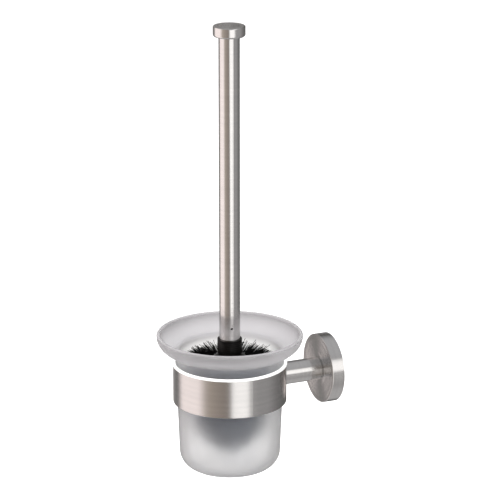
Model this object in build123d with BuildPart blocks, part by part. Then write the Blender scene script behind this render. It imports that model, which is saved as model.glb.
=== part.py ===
"""Wall-mounted toilet brush holder.

A frosted glass cup stands in a steel band, the band is carried by a round arm and a
rosette on the wall, and the brush stands in the cup.

Frame: millimetres, +Z up, the wall is the plane Y = 0 and the room is on the -Y side.
The origin is the middle of the wall plate's back face, on the arm's axis.
"""

import os
from math import cos, radians, sin, tan

from build123d import *

os.makedirs("parts", exist_ok=True)

# --- driving dimensions -----------------------------------------------------------------
arm_below_neck = 27.6  # arm axis below the cup's neck

# clearances
running_gap = 0.3  # between things that move past each other
fit_gap = 0.1  # between things pushed together by hand
thread_gap = 0.05  # a screw in its own tapped hole, thread not modelled

# glass cup, heights from its own underside
cup_height = 121.7
lip_radius = 1.75  # the mouth's edge is a full round
neck_radius = 46.9
flare_width = 16.5  # how much wider the lip is than the neck
flare_height = 14.7  # from the neck to the middle of the lip
straight_neck = 10.25  # below the flare the body is straight for this much, then a cone
taper = 3.0  # what the radius loses down the cone
foot_rounding = 16.0
cup_wall = 3.4
neck_rounding = 2.0  # outside, where the flare leaves the neck
inner_neck_rounding = 3.2
cup_floor = 5.0

# steel band round the cup
band_wall = 1.0
band_height = 33.2
band_edge_rounding = 0.3

# plastic liner in the band
liner_wall = 0.94  # at its thin upper end
flange_overhang = 0.45  # past the band
flange_thickness = 1.6
flange_rounding = 0.5
liner_above_band_foot = 1.0  # the sleeve ends this far above the band's lower edge

# arm, rosette and wall plate
arm_length = 35.35  # from the rosette to the band, along its middle
arm_diameter = 20.0
arm_edge = 0.3
rosette_diameter = 60.8
rosette_depth = 11.5
rosette_rim = 2.5  # wall round the side
rosette_face = 2.0  # wall at the front
rosette_edge_rounding = 0.6
plate_thickness = 6.0
plate_web = 1.5  # what is left behind the pocket in its middle
plate_screw_spacing = 32.0
plate_screw_hole = 5.0
plate_countersink = 9.0
plate_edge = 0.5
plate_head_clearance = 3.0  # round the arm screw's head, for a finger and a key
notch_depth = 2.0

# screws
arm_screw_diameter = 6.0
arm_screw_length = 16.0
arm_screw_head_diameter = 10.0
arm_screw_head_height = 4.0
arm_screw_key = 5.0
arm_screw_key_depth = 2.4
arm_screw_head_edge = 0.4
arm_screw_point = 0.8
washer_thickness = 1.6
washer_diameter = 11.8
washer_split = 1.2
band_screw_diameter = 5.0
band_screw_length = 14.0
band_screw_head_diameter = 9.2
band_screw_key = 3.0
band_screw_key_depth = 1.8
countersink_angle = 90.0
set_screw_diameter = 4.0
set_screw_length = 4.0
set_screw_flat = 0.4  # radius of its blunt tip
set_screw_key = 2.0
set_screw_key_depth = 2.0
set_screw_height = 3.0  # its axis, from the wall
drill_extra = 1.5  # tapped holes are this much deeper than their screws reach

# brush
tube_diameter = 18.0
tube_wall = 1.0
tube_length = 266.7
cap_overhang = 4.75  # of the cap past the tube
cap_height = 9.0
cap_top_rounding = 0.8
cap_foot_rounding = 2.0
spigot_length = 12.0
lead_in = 0.8  # chamfer on what is pushed or screwed in
insert_length = 26.0
insert_bore = 8.0
insert_thread_depth = 20.0
pin_diameter = 2.0
pin_above_tube_foot = 11.0
pin_bearing = -12.0  # degrees from +X, in plan
pin_recess = 0.3  # its ends stop short of the tube's surface
head_length = 111.8  # from the lowest bristle to the tube
collar_overhang = 1.7  # of the collar past the tube
collar_height = 12.6
collar_groove_pitch = 1.8
collar_groove_depth = 0.55
dome_radius = 17.0
dome_height = 8.5
dome_into_collar = 0.6  # the dome's crown ends inside the collar
core_radius = 9.0
core_end_flat = 1.0  # radius left flat on the core's rounded end
stud_end_room = 1.0  # above the stud in its thread
bristle_clearance = 6.2  # to the glass at the neck
bristle_fan = 7.0  # how much the upper bristles rise towards their tips
bristle_under_dome = 0.2
bristle_top_rounding = 3.0
bristle_foot_rounding = 24.0

# --- sizes, heights and planes worked out from them -------------------------------------
# heights are above the cup's underside until height() puts them into the frame
lip_height = cup_height - lip_radius  # of the middle of the lip's round
neck_height = lip_height - flare_height
shoulder_height = neck_height - straight_neck
mouth_radius = neck_radius + flare_width
foot_radius = neck_radius - taper


def cone_radius(level):
    """Outside radius of the cup's conical body at a height."""
    return foot_radius + taper * (level - foot_rounding) / (shoulder_height - foot_rounding)


arm_level = neck_height - arm_below_neck
band_foot = arm_level - band_height / 2
band_top = band_foot + band_height
liner_foot = band_foot + liner_above_band_foot
liner_top = band_top + flange_thickness
seat_foot = cone_radius(liner_foot) + running_gap
seat_top = cone_radius(liner_top) + running_gap
sleeve_radius = seat_top + liner_wall
band_bore = sleeve_radius + fit_gap
band_radius = band_bore + band_wall
flange_radius = band_radius + flange_overhang
axis_to_wall = rosette_depth + arm_length + band_radius  # of the cup


def height(level):
    """Turn a height above the cup's underside into a height in the frame."""
    return level - arm_level


cup_axis = Axis((0, -axis_to_wall, 0), (0, 0, 1))
cup_plane = Plane((0, -axis_to_wall, height(0)))  # on the cup's axis, at its underside
profile = Plane.XZ.offset(axis_to_wall)  # upright plane through the cup's axis
wall = Plane((0, 0, 0), x_dir=(1, 0, 0), z_dir=(0, -1, 0))  # its own z runs into the room

# --- wall plate -------------------------------------------------------------------------
plate_radius = rosette_diameter / 2 - rosette_rim - running_gap
with BuildPart() as wall_plate:
    with BuildSketch(wall):
        Circle(plate_radius)
    extrude(amount=plate_thickness)
    chamfer(wall_plate.edges().group_by(Axis.Y)[0], plate_edge)
    with Locations(wall.offset(plate_thickness)):
        Hole(arm_screw_head_diameter / 2 + plate_head_clearance, depth=plate_thickness - plate_web)
        with GridLocations(plate_screw_spacing, 0, 2, 1):
            CounterSinkHole(plate_screw_hole / 2, plate_countersink / 2)
    # a vee across the lower edge, which the set screw's point pulls against
    with BuildSketch(Plane.YZ.offset(-plate_radius)):
        with BuildLine():
            Polyline(
                (-set_screw_height - notch_depth, -plate_radius),
                (-set_screw_height, -plate_radius + notch_depth),
                (-set_screw_height + notch_depth, -plate_radius),
                close=True,
            )
        make_face()
    extrude(amount=2 * plate_radius, mode=Mode.SUBTRACT)
wall_plate.part.label = "wall_plate"
export_step(wall_plate.part, "parts/wall_plate.step")

# --- rosette ----------------------------------------------------------------------------
with BuildPart() as rosette:
    with BuildSketch(wall):
        Circle(rosette_diameter / 2)
    extrude(amount=rosette_depth)
    fillet(rosette.edges().group_by(Axis.Y)[0], rosette_edge_rounding)
    with BuildSketch(wall):
        Circle(rosette_diameter / 2 - rosette_rim)
    extrude(amount=rosette_depth - rosette_face, mode=Mode.SUBTRACT)
    with Locations(wall.offset(rosette_depth)):
        Hole(arm_screw_diameter / 2 + 2 * fit_gap)
    with BuildSketch(Plane.XY.offset(-rosette_diameter / 2)):
        with Locations((0, -set_screw_height)):
            Circle(set_screw_diameter / 2 + thread_gap)
    extrude(amount=2 * rosette_rim, mode=Mode.SUBTRACT)
rosette.part.label = "rosette"
export_step(rosette.part, "parts/rosette.step")

# --- set screw in the rosette's underside -----------------------------------------------
set_screw_tip = -plate_radius + notch_depth - set_screw_flat - thread_gap
set_screw_foot = set_screw_tip - set_screw_length
with BuildPart() as rosette_set_screw:
    with BuildSketch(Plane.XY.offset(set_screw_foot)):
        with Locations((0, -set_screw_height)):
            Circle(set_screw_diameter / 2)
    extrude(amount=set_screw_length)
    chamfer(rosette_set_screw.edges().group_by(Axis.Z)[-1], set_screw_diameter / 2 - set_screw_flat)
    with BuildSketch(Plane.XY.offset(set_screw_foot)):
        with Locations((0, -set_screw_height)):
            RegularPolygon(set_screw_key / 2, 6, major_radius=False)
    extrude(amount=set_screw_key_depth, mode=Mode.SUBTRACT)
rosette_set_screw.part.label = "rosette_set_screw"
export_step(rosette_set_screw.part, "parts/rosette_set_screw.step")

# --- arm --------------------------------------------------------------------------------
tapped_depth = arm_screw_length - washer_thickness - rosette_face + drill_extra
band_screw_seat = axis_to_wall - band_bore  # how far from the wall the band's bore is
head_cone_radius = (band_screw_head_diameter - band_screw_diameter) / 2
head_cone_height = head_cone_radius / tan(radians(countersink_angle / 2))
with BuildPart() as arm:
    with BuildSketch(wall.offset(rosette_depth)):
        Circle(arm_diameter / 2)
    extrude(amount=axis_to_wall - rosette_depth)
    chamfer(arm.edges().group_by(Axis.Y)[-1], arm_edge)
    # the free end is coped to the band
    with BuildSketch(Plane.XY.offset(-arm_diameter)):
        with Locations((0, -axis_to_wall)):
            Circle(band_radius)
    extrude(amount=2 * arm_diameter, mode=Mode.SUBTRACT)
    with BuildSketch(wall.offset(rosette_depth)):
        Circle(arm_screw_diameter / 2 + thread_gap)
    extrude(amount=tapped_depth, mode=Mode.SUBTRACT)
    with BuildSketch(wall.offset(band_screw_seat)):
        Circle(band_screw_diameter / 2 + thread_gap)
    extrude(amount=-band_screw_length - drill_extra, mode=Mode.SUBTRACT)
    with BuildSketch(wall.offset(band_screw_seat)):
        Circle(band_screw_head_diameter / 2 + thread_gap)
    extrude(amount=-head_cone_height, taper=countersink_angle / 2, mode=Mode.SUBTRACT)
arm.part.label = "arm"
export_step(arm.part, "parts/arm.step")

# --- screw and spring washer that hold the rosette to the arm -----------------------------
washer_seat = rosette_depth - rosette_face
screw_seat = washer_seat - washer_thickness
with BuildPart() as rosette_lock_washer:
    with BuildSketch(wall.offset(screw_seat)):
        Circle(washer_diameter / 2)
        Circle(arm_screw_diameter / 2 + fit_gap, mode=Mode.SUBTRACT)
        with Locations((washer_diameter / 2, 0)):
            Rectangle(washer_diameter, washer_split, mode=Mode.SUBTRACT)
    extrude(amount=washer_thickness)
rosette_lock_washer.part.label = "rosette_lock_washer"
export_step(rosette_lock_washer.part, "parts/rosette_lock_washer.step")

with BuildPart() as rosette_screw:
    with BuildSketch(wall.offset(screw_seat - arm_screw_head_height)):
        Circle(arm_screw_head_diameter / 2)
    extrude(amount=arm_screw_head_height)
    chamfer(rosette_screw.edges().group_by(Axis.Y)[-1], arm_screw_head_edge)
    with BuildSketch(wall.offset(screw_seat)):
        Circle(arm_screw_diameter / 2)
    extrude(amount=arm_screw_length)
    chamfer(rosette_screw.edges().group_by(Axis.Y)[0], arm_screw_point)
    with BuildSketch(wall.offset(screw_seat - arm_screw_head_height)):
        RegularPolygon(arm_screw_key / 2, 6, major_radius=False)
    extrude(amount=arm_screw_key_depth, mode=Mode.SUBTRACT)
rosette_screw.part.label = "rosette_screw"
export_step(rosette_screw.part, "parts/rosette_screw.step")

# --- steel band -------------------------------------------------------------------------
with BuildPart() as support_ring:
    with BuildSketch(cup_plane.offset(band_foot)):
        Circle(band_radius)
        Circle(band_bore, mode=Mode.SUBTRACT)
    extrude(amount=band_height)
    fillet(support_ring.edges().filter_by(GeomType.CIRCLE), band_edge_rounding)
    with BuildSketch(wall.offset(band_screw_seat)):
        Circle(band_screw_head_diameter / 2 + thread_gap)
    extrude(amount=-head_cone_height, taper=countersink_angle / 2, mode=Mode.SUBTRACT)
    # the bore curves back towards the wall beside the screw, so the seat is opened inwards
    with BuildSketch(wall.offset(band_screw_seat)):
        Circle(band_screw_head_diameter / 2 + thread_gap)
    extrude(amount=band_wall, mode=Mode.SUBTRACT)
support_ring.part.label = "support_ring"
export_step(support_ring.part, "parts/support_ring.step")

with BuildPart() as ring_screw:
    with BuildSketch(wall.offset(band_screw_seat)):
        Circle(band_screw_head_diameter / 2)
    extrude(amount=-head_cone_height, taper=countersink_angle / 2)
    with BuildSketch(wall.offset(band_screw_seat)):
        Circle(band_screw_diameter / 2)
    extrude(amount=-band_screw_length)
    with BuildSketch(wall.offset(band_screw_seat)):
        RegularPolygon(band_screw_key / 2, 6, major_radius=False)
    extrude(amount=-band_screw_key_depth, mode=Mode.SUBTRACT)
ring_screw.part.label = "ring_screw"
export_step(ring_screw.part, "parts/ring_screw.step")

# --- plastic liner ----------------------------------------------------------------------
with BuildPart() as ring_liner:
    with BuildSketch(profile):
        with BuildLine():
            Polyline(
                (seat_foot, height(liner_foot)),
                (sleeve_radius, height(liner_foot)),
                (sleeve_radius, height(band_top)),
                (flange_radius, height(band_top)),
                (flange_radius, height(liner_top)),
                (seat_top, height(liner_top)),
                close=True,
            )
        make_face()
    revolve(axis=cup_axis)
    fillet(
        ring_liner.edges().filter_by(GeomType.CIRCLE).sort_by(SortBy.RADIUS)[-2:].sort_by(Axis.Z)[-1],
        flange_rounding,
    )
ring_liner.part.label = "ring_liner"
export_step(ring_liner.part, "parts/ring_liner.step")

# --- glass cup --------------------------------------------------------------------------
inner_neck_height = neck_height + cup_wall
inner_neck_radius = neck_radius - cup_wall
inner_foot_radius = cone_radius(cup_floor) - cup_wall
with BuildPart() as glass_cup:
    # outside, filled
    with BuildSketch(profile):
        with BuildLine():
            foot = FilletPolyline(
                (0, height(0)),
                (cone_radius(0), height(0)),
                (neck_radius, height(shoulder_height)),
                radius=foot_rounding,
            )
            Line(foot @ 1, (neck_radius, height(neck_height)))
            EllipticalCenterArc(
                (neck_radius, height(lip_height)),
                mouth_radius - neck_radius,
                flare_height,
                start_angle=270,
                arc_size=90,
            )
            lip = CenterArc((mouth_radius - lip_radius, height(lip_height)), lip_radius, 0, 90)
            Polyline(lip @ 1, (0, height(cup_height)), (0, height(0)))
        make_face()
    revolve(axis=cup_axis)
    # inside, taken out
    with BuildSketch(profile):
        with BuildLine():
            inner_foot = FilletPolyline(
                (0, height(cup_floor)),
                (inner_foot_radius, height(cup_floor)),
                (inner_neck_radius, height(shoulder_height)),
                radius=foot_rounding - cup_wall,
            )
            Polyline(
                inner_foot @ 1,
                (inner_neck_radius, height(inner_neck_height)),
                (neck_radius, height(inner_neck_height)),
            )
            EllipticalCenterArc(
                (neck_radius, height(lip_height)),
                mouth_radius - 2 * lip_radius - neck_radius,
                flare_height - cup_wall,
                start_angle=270,
                arc_size=90,
            )
            inner_lip = CenterArc((mouth_radius - lip_radius, height(lip_height)), lip_radius, 90, 90)
            Polyline(inner_lip @ 0, (0, height(cup_height)), (0, height(cup_floor)))
        make_face()
    revolve(axis=cup_axis, mode=Mode.SUBTRACT)
    circles = glass_cup.edges().filter_by(GeomType.CIRCLE)
    rings = circles.group_by(Axis.Z)
    for ring_height, rounding in ((neck_height, neck_rounding), (inner_neck_height, inner_neck_rounding)):
        nearest = min(rings, key=lambda ring: abs(ring[0].center().Z - height(ring_height)))
        fillet(nearest.sort_by(SortBy.RADIUS)[0], rounding)
glass_cup.part.label = "glass_cup"
export_step(glass_cup.part, "parts/glass_cup.step")

# --- brush handle -----------------------------------------------------------------------
tube_bore = tube_diameter - 2 * tube_wall
head_foot_height = cup_floor + running_gap
tube_foot_height = head_foot_height + head_length
tube_top_height = tube_foot_height + tube_length
pin_height = tube_foot_height + pin_above_tube_foot
pin_plane = Plane(
    origin=(0, -axis_to_wall, height(pin_height)),
    x_dir=(0, 0, 1),
    z_dir=(cos(radians(pin_bearing)), sin(radians(pin_bearing)), 0),
)
with BuildPart() as handle_tube:
    with BuildSketch(cup_plane.offset(tube_foot_height)):
        Circle(tube_diameter / 2)
        Circle(tube_bore / 2, mode=Mode.SUBTRACT)
    extrude(amount=tube_length)
    with BuildSketch(pin_plane):
        Circle(pin_diameter / 2)
    extrude(amount=tube_diameter, both=True, mode=Mode.SUBTRACT)
handle_tube.part.label = "handle_tube"
export_step(handle_tube.part, "parts/handle_tube.step")

with BuildPart() as handle_cap:
    with BuildSketch(cup_plane.offset(tube_top_height)):
        Circle(tube_diameter / 2 + cap_overhang)
    extrude(amount=cap_height)
    rims = handle_cap.edges().filter_by(GeomType.CIRCLE).sort_by(Axis.Z)
    fillet(rims[0], cap_foot_rounding)
    fillet(rims[-1], cap_top_rounding)
    with BuildSketch(cup_plane.offset(tube_top_height - spigot_length)):
        Circle(tube_bore / 2 - fit_gap)
    extrude(amount=spigot_length)
    chamfer(handle_cap.edges().group_by(Axis.Z)[0], lead_in)
handle_cap.part.label = "handle_cap"
export_step(handle_cap.part, "parts/handle_cap.step")

with BuildPart() as handle_insert:
    with BuildSketch(cup_plane.offset(tube_foot_height)):
        Circle(tube_bore / 2 - fit_gap)
    extrude(amount=insert_length)
    chamfer(handle_insert.edges().group_by(Axis.Z)[-1], lead_in)
    with BuildSketch(cup_plane.offset(tube_foot_height)):
        Circle(insert_bore / 2)
    extrude(amount=insert_thread_depth, mode=Mode.SUBTRACT)
    with BuildSketch(pin_plane):
        Circle(pin_diameter / 2)
    extrude(amount=tube_diameter, both=True, mode=Mode.SUBTRACT)
handle_insert.part.label = "handle_insert"
export_step(handle_insert.part, "parts/handle_insert.step")

# two short pins, one from each side, so that the screwed stud passes between them
with BuildPart() as insert_pin:
    for side in (1, -1):
        with BuildSketch(pin_plane.offset(side * (insert_bore / 2 + running_gap))):
            Circle(pin_diameter / 2)
        extrude(amount=side * (tube_diameter / 2 - pin_recess - insert_bore / 2 - running_gap))
insert_pin.part.label = "insert_pin"
export_step(insert_pin.part, "parts/insert_pin.step")

# --- brush head -------------------------------------------------------------------------
collar_foot_height = tube_foot_height - collar_height
dome_foot_height = collar_foot_height - dome_height
collar_radius = tube_diameter / 2 + collar_overhang
bristle_radius = inner_neck_radius - bristle_clearance
core_foot_height = head_foot_height + bristle_radius - core_radius
stud_length = insert_thread_depth - stud_end_room
groove_count = int(collar_height / collar_groove_pitch)
with BuildPart() as brush_core:
    with BuildSketch(cup_plane.offset(core_foot_height)):
        Circle(core_radius)
    extrude(amount=dome_foot_height - core_foot_height)
    fillet(brush_core.edges().group_by(Axis.Z)[0], core_radius - core_end_flat)
    # dome shoulder, domed on top and flat underneath
    with BuildSketch(profile):
        with BuildLine():
            dome = EllipticalCenterArc(
                (0, height(dome_foot_height)),
                dome_radius,
                dome_height + dome_into_collar,
                start_angle=0,
                arc_size=90,
            )
            Polyline(dome @ 1, (0, height(dome_foot_height)), dome @ 0)
        make_face()
    revolve(axis=cup_axis)
    # ribbed collar: a stack of turned ribs up to the tube's end
    with BuildSketch(cup_plane.offset(collar_foot_height)):
        Circle(collar_radius)
    extrude(amount=collar_height)
    for groove in range(groove_count):
        groove_height = collar_foot_height + (groove + 0.5) * collar_height / groove_count
        with BuildSketch(cup_plane.offset(groove_height - collar_groove_pitch / 4)):
            Circle(collar_radius)
            Circle(collar_radius - collar_groove_depth, mode=Mode.SUBTRACT)
        extrude(amount=collar_groove_pitch / 2, mode=Mode.SUBTRACT)
    # screwed stud up into the handle
    with BuildSketch(cup_plane.offset(tube_foot_height)):
        Circle(insert_bore / 2 - thread_gap)
    extrude(amount=stud_length)
    chamfer(brush_core.edges().group_by(Axis.Z)[-1], lead_in)
brush_core.part.label = "brush_core"
export_step(brush_core.part, "parts/brush_core.step")

# the bristles as one plain solid: their outer shape, fitted round the core
with BuildPart() as bristles:
    with BuildSketch(profile):
        with BuildLine():
            Polyline(
                (0, height(head_foot_height)),
                (bristle_radius, height(head_foot_height)),
                (bristle_radius, height(dome_foot_height + bristle_fan)),
                (dome_radius, height(dome_foot_height - bristle_under_dome)),
                (0, height(dome_foot_height - bristle_under_dome)),
                close=True,
            )
        make_face()
    revolve(axis=cup_axis)
    tips = bristles.edges().filter_by(GeomType.CIRCLE).sort_by(SortBy.RADIUS)[-2:].sort_by(Axis.Z)
    fillet(tips[0], bristle_foot_rounding)
    fillet(tips[-1], bristle_top_rounding)
    with BuildSketch(cup_plane.offset(core_foot_height)):
        Circle(core_radius)
    extrude(amount=dome_foot_height - core_foot_height, mode=Mode.SUBTRACT)
bristles.part.label = "bristles"
export_step(bristles.part, "parts/bristles.step")
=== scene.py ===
from math import cos, pi, radians, sin

import bpy
from mathutils import Matrix, Vector


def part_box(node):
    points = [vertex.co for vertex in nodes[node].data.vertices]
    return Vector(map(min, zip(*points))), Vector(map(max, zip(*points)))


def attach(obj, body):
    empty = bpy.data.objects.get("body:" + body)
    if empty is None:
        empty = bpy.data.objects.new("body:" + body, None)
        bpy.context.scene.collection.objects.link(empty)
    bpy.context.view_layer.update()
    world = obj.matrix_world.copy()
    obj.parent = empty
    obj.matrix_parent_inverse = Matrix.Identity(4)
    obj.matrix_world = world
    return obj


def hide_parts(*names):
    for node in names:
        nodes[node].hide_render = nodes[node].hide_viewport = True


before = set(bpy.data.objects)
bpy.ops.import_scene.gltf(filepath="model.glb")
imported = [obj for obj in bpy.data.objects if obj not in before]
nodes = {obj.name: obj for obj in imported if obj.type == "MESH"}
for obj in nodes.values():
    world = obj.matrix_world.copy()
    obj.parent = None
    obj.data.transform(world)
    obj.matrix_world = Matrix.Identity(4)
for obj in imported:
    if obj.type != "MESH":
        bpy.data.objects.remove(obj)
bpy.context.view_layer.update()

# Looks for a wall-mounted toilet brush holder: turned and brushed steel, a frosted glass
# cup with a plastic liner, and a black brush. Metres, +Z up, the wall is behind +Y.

MM = 0.001
ring_low, ring_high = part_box("support_ring")
cup_low, cup_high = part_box("glass_cup")
bristle_low, bristle_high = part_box("bristles")
rosette_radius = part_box("rosette")[1].x
cup_axis = (ring_low + ring_high) / 2  # a point on the axis of the band, cup and brush
arm_axis = (0, 0, 0)  # a point on the axis of the arm and rosette


# --- node trees -------------------------------------------------------------------------
class Output:
    """One output of a node. Arithmetic on it adds Math nodes to the same tree."""

    def __init__(self, tree, node, socket):
        self.tree, self.node, self.socket = tree, node, socket

    def other(self, name):
        return Output(self.tree, self.node, self.node.outputs[name])

    def math(self, operation, *values):
        return self.tree.add("ShaderNodeMath", {"operation": operation}, dict(enumerate(values)))

    def __add__(self, other):
        return self.math("ADD", self, other)

    def __sub__(self, other):
        return self.math("SUBTRACT", self, other)

    def __rsub__(self, other):
        return self.math("SUBTRACT", other, self)

    def __mul__(self, other):
        return self.math("MULTIPLY", self, other)

    def __truediv__(self, other):
        return self.math("DIVIDE", self, other)

    def __pow__(self, other):
        return self.math("POWER", self, other)

    def floor(self):
        return self.math("FLOOR", self)

    def remainder(self, other):
        return self.math("MODULO", self, other)

    def at_least(self, other):
        return self.math("MAXIMUM", self, other)

    def at_most(self, other):
        return self.math("MINIMUM", self, other)

    def sine(self):
        return self.math("SINE", self)

    def cosine(self):
        return self.math("COSINE", self)

    __radd__ = __add__
    __rmul__ = __mul__


class Tree:
    """Adds nodes to one shader, world or geometry tree."""

    def __init__(self, tree):
        self.tree = tree

    def add(self, kind, settings=None, values=None, out=0):
        """A node of a type, with its settings, then the values or links of its sockets."""
        node = self.tree.nodes.new(kind)
        for name, setting in (settings or {}).items():
            if name == "stops":
                for place, colour in setting[1:-1]:
                    node.color_ramp.elements.new(place)
                for element, (place, colour) in zip(node.color_ramp.elements, setting):
                    element.position, element.color = place, (*colour, 1)
            else:
                setattr(node, name, setting)
        for key, value in (values or {}).items():
            if isinstance(value, Output):
                self.tree.links.new(value.socket, node.inputs[key])
            else:
                node.inputs[key].default_value = value
        return Output(self, node, node.outputs[out] if len(node.outputs) else None)

    def combine(self, x, y, z):
        return self.add("ShaderNodeCombineXYZ", None, {0: x, 1: y, 2: z})

    def split(self, vector):
        x = self.add("ShaderNodeSeparateXYZ", None, {0: vector})
        return x, x.other("Y"), x.other("Z")

    def vector(self, operation, *values, out=0):
        return self.add("ShaderNodeVectorMath", {"operation": operation}, dict(enumerate(values)), out)

    def scaled(self, vector, factor):
        return self.add("ShaderNodeVectorMath", {"operation": "SCALE"}, {0: vector, "Scale": factor})

    def mix(self, share, a, b):
        """A colour from a to b."""
        return self.add("ShaderNodeMix", {"data_type": "RGBA"}, {0: share, 6: a, 7: b}, out=2)

    def noise(self, place, scale, detail=2.0, roughness=0.5):
        values = {"Vector": place, "Scale": scale, "Detail": detail, "Roughness": roughness}
        return self.add("ShaderNodeTexNoise", None, values)

    def ramp(self, value, low, high, to_low=0.0, to_high=1.0):
        """The value from low to high, as a number from to_low to to_high."""
        values = {"Value": value, "From Min": low, "From Max": high, "To Min": to_low, "To Max": to_high}
        return self.add("ShaderNodeMapRange", {"clamp": True}, values)


def grey(level, warmth=0.0):
    """A colour near grey; warmth moves it from blue to red."""
    return (level * (1 + warmth), level, level * (1 - warmth), 1)


class Finish(Tree):
    """A material with one Principled shader; constants are set on its own sockets."""

    def __init__(self, name, **constants):
        self.material = bpy.data.materials.new(name)
        self.material.use_nodes = True
        super().__init__(self.material.node_tree)
        self.tree.nodes.clear()
        sockets = {key.replace("_", " "): value for key, value in constants.items()}
        self.surface = self.add("ShaderNodeBsdfPrincipled", None, sockets)
        self.end = self.add("ShaderNodeOutputMaterial", None, {"Surface": self.surface})
        self.place = self.add("ShaderNodeTexCoord", None, None, out="Object")

    def about(self, centre):
        """Object coordinates measured from a point."""
        return self.vector("SUBTRACT", self.place, tuple(centre))

    def link(self, **outputs):
        for name, output in outputs.items():
            self.tree.links.new(output.socket, self.surface.node.inputs[name.replace("_", " ")])

    def bump(self, height, distance):
        values = {"Height": height, "Distance": distance}
        self.link(Normal=self.add("ShaderNodeBump", None, values, out="Normal"))

# --- finishes ---------------------------------------------------------------------------
def across_grooves(finish, from_centre, way, grooves, bands, tilt):
    """The surface's normal, tilted across fine grooves that run round an axis.

    Each noise averages a half, so the two come to 0.54 on average, and eight times what is
    left swings by about one; tilt is then the slope of a typical groove.
    """
    normal = finish.add("ShaderNodeNewGeometry", None, None, out="Normal")
    round_axis = finish.vector("NORMALIZE", finish.vector("CROSS_PRODUCT", way, from_centre))
    across = finish.vector("CROSS_PRODUCT", normal, round_axis)
    lean = finish.scaled(across, (grooves + 0.08 * bands - 0.54) * 8.0 * tilt)
    return finish.vector("NORMALIZE", finish.vector("ADD", normal, lean))


def turned_steel(name, centre, axis, gloss=0.14, tilt=0.07, tone=0.62, face=None):
    """Steel finished on a lathe, with fine grooves round the axis.

    Inside the radius given as face the grooves are cut deeper, by the tilt given with it.
    """
    finish = Finish(name, Metallic=1.0)
    from_centre = finish.about(centre)
    x, y, z = finish.split(from_centre)
    along, side, up, way = (z, x, y, (0, 0, 1)) if axis == "Z" else (y, x, z, (0, 1, 0))
    outward = (side * side + up * up) ** 0.5
    track = finish.combine(outward, along, 0.0)
    grain = 0.16 * MM
    grooves = finish.noise(track, 1 / grain, detail=2.0, roughness=0.6)
    bands = finish.noise(track, 1 / (16 * grain), detail=3.0)
    marks = finish.noise(finish.place, 1 / (26 * MM), detail=4.0, roughness=0.6)
    shade = finish.mix(finish.ramp(bands, 0.3, 0.7), grey(tone * 0.97, 0.012), grey(tone * 1.03, 0.016))
    shade = finish.mix(finish.ramp(marks, 0.45, 0.75, 0.0, 0.2), shade, grey(tone * 0.86, 0.02))
    if face:
        radius, deeper = face
        tilt = finish.ramp(outward, radius, radius - 1.0 * MM, tilt, deeper)
    finish.link(
        Base_Color=shade,
        Roughness=finish.ramp(marks, 0.3, 0.75, gloss - 0.01, gloss + 0.03) + 0.04 * bands,
        Normal=across_grooves(finish, from_centre, way, grooves, bands, tilt),
    )
    return finish.material


def frosted_glass():
    """Etched glass: satin body with an even fine bite, milkier in the flare, smoother on the lip."""
    finish = Finish("frosted_glass", Transmission_Weight=0.95, IOR=1.4, Specular_Tint=(0.50, 0.64, 1.0, 1))
    bite = finish.noise(finish.place, 1 / (0.35 * MM), detail=3.0, roughness=0.7)
    cloud = finish.noise(finish.place, 1 / (24 * MM), detail=3.0)
    height = finish.split(finish.place)[2]
    polished = finish.ramp(height, cup_high.z - 3.2 * MM, cup_high.z - 1.2 * MM)
    roughness = finish.ramp(cloud, 0.3, 0.7, 0.42, 0.46) * (1 - 0.5 * polished) + 0.03 * bite
    finish.link(
        Base_Color=finish.mix(cloud, (0.97, 0.98, 0.99, 1), (1.0, 1.0, 1.0, 1)),
        Roughness=roughness,
    )
    milk = {
        "Base Color": finish.mix(cloud, (0.46, 0.452, 0.462, 1), (0.50, 0.492, 0.502, 1)),
        "Roughness": roughness,
        "Transmission Weight": 0.66,
        "IOR": 1.18,
        "Specular Tint": (0.80, 0.88, 1.0, 1),
    }
    milky = finish.add("ShaderNodeBsdfPrincipled", None, milk)
    flare = finish.ramp(height, cup_high.z - 21 * MM, cup_high.z - 14 * MM)
    both = finish.add("ShaderNodeMixShader", None, {0: flare, 1: finish.surface, 2: milky})
    finish.tree.links.new(both.socket, finish.end.node.inputs["Surface"])
    finish.bump(bite, 0.002 * MM)
    return finish.material


def moulded_plastic(name, colour, roughness, **constants):
    """Moulded plastic: a fine spark-eroded texture and slow changes in gloss."""
    finish = Finish(name, **constants)
    fine = finish.noise(finish.place, 1 / (0.5 * MM), detail=3.0, roughness=0.65)
    slow = finish.noise(finish.place, 1 / (11 * MM), detail=3.0)
    darker = tuple(channel * 0.82 for channel in colour)
    finish.link(
        Base_Color=finish.mix(finish.ramp(slow, 0.3, 0.7), (*darker, 1), (*colour, 1)),
        Roughness=finish.ramp(slow, 0.3, 0.7, roughness - 0.05, roughness + 0.06) + 0.06 * fine,
    )
    finish.bump(fine, 0.004 * MM)
    return finish.material


def bristle_nylon():
    """Black nylon filament: satin, a little greyer towards the worn tips."""
    finish = Finish("bristle_nylon", Specular_IOR_Level=0.06)
    strand = finish.noise(finish.place, 1 / (1.2 * MM), detail=2.0)
    x, y, z = finish.split(finish.about(cup_axis))
    outward = (x * x + y * y) ** 0.5
    worn = finish.ramp(outward, 30 * MM, 38 * MM) * strand
    finish.link(
        Base_Color=finish.mix(worn, (0.0012, 0.0012, 0.0012, 1), (0.005, 0.0045, 0.0045, 1)),
        Roughness=finish.ramp(strand, 0.3, 0.7, 0.40, 0.55),
    )
    return finish.material


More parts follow.
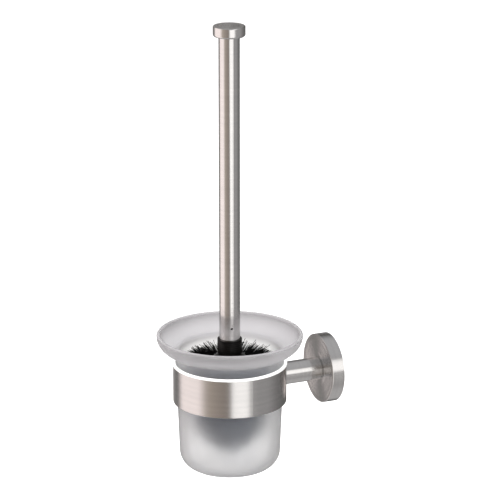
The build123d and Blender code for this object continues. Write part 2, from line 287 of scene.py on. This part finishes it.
def cast_alloy():
    """Sand-blasted zinc casting for the hidden wall plate."""
    finish = Finish("cast_alloy", Metallic=1.0)
    grit = finish.noise(finish.place, 1 / (0.5 * MM), detail=4.0, roughness=0.7)
    cloud = finish.noise(finish.place, 1 / (9 * MM), detail=3.0)
    finish.link(
        Base_Color=finish.mix(cloud, grey(0.42), grey(0.55, 0.01)),
        Roughness=finish.ramp(grit, 0.3, 0.7, 0.45, 0.6),
    )
    finish.bump(grit, 0.025 * MM)
    return finish.material


handle_steel = turned_steel("handle_steel", cup_axis, "Z")
screw_steel = turned_steel("screw_steel", arm_axis, "Y", tone=0.45)
rosette_face = (rosette_radius - 0.8 * MM, 0.26)
finish_of = {
    "support_ring": turned_steel("band_steel", cup_axis, "Z", gloss=0.18, tone=0.56),
    "handle_tube": handle_steel,
    "handle_cap": handle_steel,
    "arm": turned_steel("arm_steel", arm_axis, "Y", tilt=0.04),
    "rosette": turned_steel("rosette_steel", arm_axis, "Y", tilt=0.05, face=rosette_face),
    "rosette_set_screw": screw_steel,
    "rosette_screw": screw_steel,
    "rosette_lock_washer": screw_steel,
    "ring_screw": screw_steel,
    # painted shade: the pin's steel is near black (tone 0.08) so that its end shows as the dark dot on the
    # tube, standing in for the shade of the small recess it sits in
    "insert_pin": turned_steel("pin_steel", arm_axis, "Y", gloss=0.4, tone=0.08),
    "wall_plate": cast_alloy(),
    "ring_liner": moulded_plastic("white_plastic", (0.80, 0.80, 0.79), 0.35),
    "glass_cup": frosted_glass(),
    "brush_core": moulded_plastic("black_plastic", (0.003, 0.0027, 0.0025), 0.15, Specular_IOR_Level=0.2),
    "handle_insert": moulded_plastic("insert_plastic", (0.05, 0.05, 0.05), 0.5),
}
for name, material in finish_of.items():
    nodes[name].data.materials[0] = material
nodes["glass_cup"].visible_shadow = False  # lamp light goes through the glass to what it holds


# --- bristles ---------------------------------------------------------------------------
class BristleTree(Tree):
    """A node group of filaments in tufts, set round a core and over its rounded lower end."""

    sizes = {
        "Side Rows": ("Int", 14),
        "End Rows": ("Int", 5),
        "Tufts in a Row": ("Int", 18),
        "Filaments in a Tuft": ("Int", 26),
        "Core Radius": ("Float", 9 * MM),
        "Head Radius": ("Float", 37 * MM),
        "Foot": ("Float", 0.0),
        "Top": ("Float", 0.0),
        "Fan": ("Float", 0.3),
        "Tuft Radius": ("Float", 1.1 * MM),
        "Splay": ("Float", 0.19),
        "Curl": ("Float", 2.0 * MM),
        "Taper": ("Float", 0.15),
        "Worn End": ("Float", 0.66),
        "Sweep": ("Float", 5.5 * MM),
        "Filament Radius": ("Float", 0.32 * MM),
        "Seed": ("Int", 7),
        "Finish": ("Material", None),
    }
    root_share = 0.8  # a tuft is rooted this far out in the core
    last_row_under = radians(84)  # the last end row points this far below level

    def __init__(self):
        super().__init__(bpy.data.node_groups.new("bristle_tufts", "GeometryNodeTree"))
        new_socket = self.tree.interface.new_socket
        new_socket("Geometry", in_out="OUTPUT", socket_type="NodeSocketGeometry")
        for name, (kind, value) in self.sizes.items():
            socket = new_socket(name, in_out="INPUT", socket_type="NodeSocket" + kind)
            if value is not None:
                socket.default_value = value
        self.size = self.add("NodeGroupInput").other
        self.place_rows()
        mesh = self.bent(self.planted(self.filament()))
        mesh = self.add("GeometryNodeSetShadeSmooth", None, {"Geometry": mesh})
        mesh = self.add("GeometryNodeSetMaterial", None, {"Geometry": mesh, "Material": self.size("Finish")})
        self.add("NodeGroupOutput", None, {"Geometry": mesh})

    def chance(self, low, high, shift):
        """A random number for each filament; each shift is a series of its own."""
        values = {2: low, 3: high, "Seed": self.size("Seed") + shift}
        return self.add("FunctionNodeRandomValue", {"data_type": "FLOAT"}, values, out=1)

    def chance_vector(self, shift):
        """A random vector for each filament, its parts from -1 to 1."""
        values = {0: (-1.0,) * 3, 1: (1.0,) * 3, "Seed": self.size("Seed") + shift}
        return self.add("FunctionNodeRandomValue", {"data_type": "FLOAT_VECTOR"}, values, out=0)

    def noted(self, geometry, name, kind, value):
        settings = {"data_type": kind, "domain": "POINT"}
        values = {"Geometry": geometry, "Name": name, "Value": value}
        return self.add("GeometryNodeStoreNamedAttribute", settings, values)

    def recalled(self, name, kind):
        return self.add("GeometryNodeInputNamedAttribute", {"data_type": kind}, {"Name": name})

    def place_rows(self):
        """Each filament's bearing round the core, and how far down the side and end its row is."""
        size = self.size
        index = self.add("GeometryNodeInputIndex")
        # 0.001 keeps a rounded quotient from falling into the tuft or row before
        tuft = (index / size("Filaments in a Tuft") + 0.001).floor()
        row = (tuft / size("Tufts in a Row") + 0.001).floor()
        place = tuft.remainder(size("Tufts in a Row")) + 0.5 * row.remainder(2.0)
        turn = place * (2 * pi) / size("Tufts in a Row") + self.chance(-0.05, 0.05, 1)
        last_side = size("Side Rows") - 1.0
        # the power sets the side rows closer together near the top
        self.down_side = (row.at_most(last_side) / last_side) ** 1.6
        self.down_end = (row - last_side).at_least(0.0) / size("End Rows")
        self.under = self.down_end * self.last_row_under
        self.radial = self.combine(turn.cosine(), turn.sine(), 0.0)
        self.upright = self.combine(0.0, 0.0, 1.0)

    def in_plane(self, outward, upward):
        """A vector in the upright plane through a filament's tuft."""
        return self.vector("ADD", self.scaled(self.radial, outward), self.scaled(self.upright, upward))

    def root(self):
        """Inside the core's side or rounded end, scattered over the tuft's hole."""
        size = self.size
        level = size("Top") + (size("Foot") - size("Top")) * self.down_side
        outward = size("Core Radius") * self.root_share * self.under.cosine()
        upward = level - size("Core Radius") * self.root_share * self.under.sine()
        scatter = self.scaled(self.chance_vector(2), size("Tuft Radius"))
        return self.vector("ADD", self.in_plane(outward, upward), scatter)

    def direction(self):
        """Along the tuft, a little apart from the other filaments in it."""
        splay = self.size("Splay")
        lean = self.size("Fan") * (1.0 - self.down_side) ** 1.4 - self.under
        lean = lean + splay * self.chance(-1.0, 1.0, 3) * self.chance(0.3, 1.0, 4)
        sideways = self.vector("CROSS_PRODUCT", self.radial, self.upright)
        sideways = self.scaled(sideways, splay * self.chance(-1.0, 1.0, 5))
        return self.vector("ADD", self.in_plane(lean.cosine(), lean.sine()), sideways)

    def reach(self):
        """Long enough for the tip to reach the head's trimmed outline, shorter over the end."""
        size = self.size
        trimmed = 1.0 - size("Taper") * (1.0 - (1.0 - self.down_side) ** 4.0)
        reach = size("Head Radius") * trimmed - size("Core Radius") * self.root_share
        reach = reach * self.chance(0.92, 1.0, 6)
        return reach * (1.0 - size("Worn End") * self.down_end * self.chance(0.0, 1.0, 8) ** 0.5)

    def curl(self):
        """How far a tip is bent aside, and swept up near the top."""
        aside = self.scaled(self.chance_vector(7), self.size("Curl"))
        lift = self.size("Sweep") * (1.0 - self.down_side) ** 1.5 * self.chance(0.45, 1.15, 9)
        return self.vector("ADD", aside, self.scaled(self.upright, lift))

    def filament(self):
        """One filament, a unit long, three-sided and slightly tapered."""
        cone = {"Vertices": 3, "Side Segments": 3, "Radius Top": 0.72, "Radius Bottom": 1.0, "Depth": 1.0}
        filament = self.add("GeometryNodeMeshCone", {"fill_type": "NGON"}, cone)
        rise = self.split(self.add("GeometryNodeInputPosition"))[2]
        return self.noted(filament, "along", "FLOAT", rise)

    def planted(self, filament):
        """A copy of the filament at every root, all as one mesh."""
        size = self.size
        rows = size("Side Rows") + size("End Rows")
        count = rows * size("Tufts in a Row") * size("Filaments in a Tuft")
        points = self.add("GeometryNodePoints", None, {"Count": count})
        points = self.add("GeometryNodeSetPosition", None, {"Geometry": points, "Position": self.root()})
        points = self.noted(points, "curl", "FLOAT_VECTOR", self.curl())
        aim = self.add("FunctionNodeAlignRotationToVector", {"axis": "Z"}, {"Vector": self.direction()})
        thick = size("Filament Radius")
        scale = self.combine(thick, thick, self.reach())
        values = {"Points": points, "Instance": filament, "Rotation": aim, "Scale": scale}
        tufts = self.add("GeometryNodeInstanceOnPoints", None, values)
        return self.add("GeometryNodeRealizeInstances", None, {"Geometry": tufts})

    def bent(self, mesh):
        """Each filament bent by its curl, more towards the tip."""
        along = self.recalled("along", "FLOAT")
        bend = self.scaled(self.recalled("curl", "FLOAT_VECTOR"), along * along)
        return self.add("GeometryNodeSetPosition", None, {"Geometry": mesh, "Offset": bend})


def grown(name, group, sizes):
    """A plain mesh object from a geometry node group and its sizes."""
    seedling = bpy.data.objects.new(name + "_source", bpy.data.meshes.new(name + "_source"))
    bpy.context.scene.collection.objects.link(seedling)
    modifier = seedling.modifiers.new("grow", "NODES")
    modifier.node_group = group
    identifiers = {item.name: item.identifier for item in group.interface.items_tree}
    for size_name, value in sizes.items():
        modifier[identifiers[size_name]] = value
    evaluated = seedling.evaluated_get(bpy.context.evaluated_depsgraph_get())
    mesh = bpy.data.meshes.new_from_object(evaluated)
    bpy.data.objects.remove(seedling)
    piece = bpy.data.objects.new(name, mesh)
    bpy.context.scene.collection.objects.link(piece)
    return piece


head_radius = (bristle_high.x - bristle_low.x) / 2 - 0.4 * MM
head_sizes = {
    "Core Radius": 9 * MM,
    "Head Radius": head_radius,
    "Foot": bristle_low.z + head_radius,
    "Top": bristle_high.z - 9.5 * MM,
    "Fan": radians(6),
    "Finish": bristle_nylon(),
}
bristles = grown("bristle_head", BristleTree().tree, head_sizes)
bristles.data.transform(Matrix.Translation((cup_axis.x, cup_axis.y, 0)))
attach(bristles, "brush")
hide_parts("bristles")


# --- studio -----------------------------------------------------------------------------
bearing, distance, eye_height = radians(66.21), 2.4118, 0.85415  # level distance from the cup's axis
aim_bearing, aim_pitch = radians(65.794), radians(16.953)  # the pitch is below level
camera = bpy.data.objects.new("camera", bpy.data.cameras.new("camera"))
camera.data.lens = 212.1
camera.data.sensor_width = 36.0
camera.data.clip_end = 50.0
camera.location = (
    cup_axis.x + distance * sin(bearing),
    cup_axis.y - distance * cos(bearing),
    eye_height,
)
camera.rotation_euler = (pi / 2 - aim_pitch, 0.0, aim_bearing)
bpy.context.scene.collection.objects.link(camera)
bpy.context.scene.camera = camera


def paper_floor(half, below_cup):
    """A square sheet of pale paper under the object, kept out of reflections."""
    corners = [(-half, -half, 0), (half, -half, 0), (half, half, 0), (-half, half, 0)]
    mesh = bpy.data.meshes.new("floor")
    mesh.from_pydata(corners, [], [(0, 1, 2, 3)])
    mesh.transform(Matrix.Translation((0, 0, cup_low.z - below_cup)))
    finish = Finish("floor_paper", Roughness=0.9, Emission_Color=(1, 1, 1, 1), Emission_Strength=0.35)
    fibres = finish.noise(finish.place, 1 / (25 * MM), detail=3.0)
    finish.link(Base_Color=finish.mix(fibres, grey(0.90), grey(0.93)))
    mesh.materials.append(finish.material)
    floor = bpy.data.objects.new("floor", mesh)
    floor.visible_glossy = False
    floor.visible_transmission = False
    bpy.context.scene.collection.objects.link(floor)
    return floor


paper_floor(half=40.0, below_cup=0.25)


def wall_panels(tree, share):
    """The colour all round, by bearing in degrees from straight ahead, right positive."""
    wall, dusk, brown = (0.40, 0.39, 0.385), (0.26, 0.25, 0.245), (0.34, 0.29, 0.26)
    middle, side, bright = (0.5, 0.49, 0.485), (0.43, 0.42, 0.42), (1.45, 1.30, 1.27)
    panels = [
        (-180, wall),
        (-154, wall),
        (-147, dusk),
        (-128, dusk),
        (-112, bright),
        (-66, bright),
        (-48, (0.62, 0.54, 0.48)),
        (-38, (0.52, 0.45, 0.39)),
        (-20, (0.42, 0.36, 0.32)),
        (-3, brown),
        (3, middle),
        (44, middle),
        (60, side),
        (84, side),
        (108, (0.28, 0.27, 0.27)),
        (140, (0.17, 0.17, 0.165)),
        (180, (0.12, 0.118, 0.115)),
    ]
    stops = [(angle / 360 + 0.5, colour) for angle, colour in panels]
    return tree.add("ShaderNodeValToRGB", {"stops": stops}, {0: share})


def lit_panel(tree, share, up, left, right, low, high, soft, lift=0.06):
    """One inside a range of bearings in degrees and of heights, with soft edges."""
    sides = tree.ramp(share, 0.5 + left / 360, 0.5 + (left + soft) / 360)
    sides = sides * tree.ramp(share, 0.5 + right / 360, 0.5 + (right - soft) / 360)
    return sides * tree.ramp(up, low, low + lift) * tree.ramp(up, high, high - lift)


def studio_world():
    """Soft panels round the object, for steel and glass to reflect, and a white backdrop."""
    world = bpy.data.worlds.new("studio")
    bpy.context.scene.world = world
    world.use_nodes = True
    tree = Tree(world.node_tree)
    tree.tree.nodes.clear()
    way = tree.add("ShaderNodeTexCoord", None, None, out="Generated")
    front = (sin(aim_bearing), -cos(aim_bearing), 0)
    right = (cos(aim_bearing), sin(aim_bearing), 0)
    ahead = tree.vector("DOT_PRODUCT", way, front, out="Value")
    across = tree.vector("DOT_PRODUCT", way, right, out="Value")
    share = across.math("ARCTAN2", across, ahead) / (2 * pi) + 0.5
    up = tree.split(way)[2]
    main = lit_panel(tree, share, up, left=1, right=45, low=-0.66, high=0.18, soft=7)
    high = lit_panel(tree, share, up, left=30, right=64, low=-0.02, high=0.62, soft=8)
    room = tree.mix(main.at_least(high), wall_panels(tree, share), (1.6, 1.57, 1.55, 1))
    room = tree.mix(tree.ramp(up, 0.45, 0.8), room, (0.55, 0.55, 0.56, 1))
    room = tree.mix(tree.ramp(up, -0.68, -0.85), room, (0.55, 0.54, 0.54, 1))
    # what comes through the glass without a reflection first is one even colour
    seen = tree.add("ShaderNodeLightPath", None, None, out="Is Camera Ray")
    through = seen.other("Is Transmission Ray") * seen.math("LESS_THAN", seen.other("Glossy Depth"), 0.5)
    room = tree.mix(through, room, (0.88, 0.865, 0.865, 1))
    colour = tree.mix(seen, room, (1.0, 1.0, 1.0, 1))
    background = tree.add("ShaderNodeBackground", None, {"Color": colour, "Strength": 1.0})
    tree.add("ShaderNodeOutputWorld", None, {"Surface": background})


studio_world()


def softbox(name, place, size, power):
    """A square area light that faces the cup and isn't seen in reflections."""
    light = bpy.data.lights.new(name, "AREA")
    light.size = size
    light.energy = power
    lamp = bpy.data.objects.new(name, light)
    lamp.location = place
    lamp.rotation_euler = (cup_axis - Vector(place)).to_track_quat("-Z", "Y").to_euler()
    lamp.visible_glossy = False
    lamp.visible_transmission = False
    bpy.context.scene.collection.objects.link(lamp)


softbox("overhead", place=(0.3, -0.6, 2.2), size=1.8, power=110)
softbox("right", place=(1.8, 0.9, 0.9), size=1.2, power=18)
bpy.context.scene.view_settings.view_transform = "Standard"
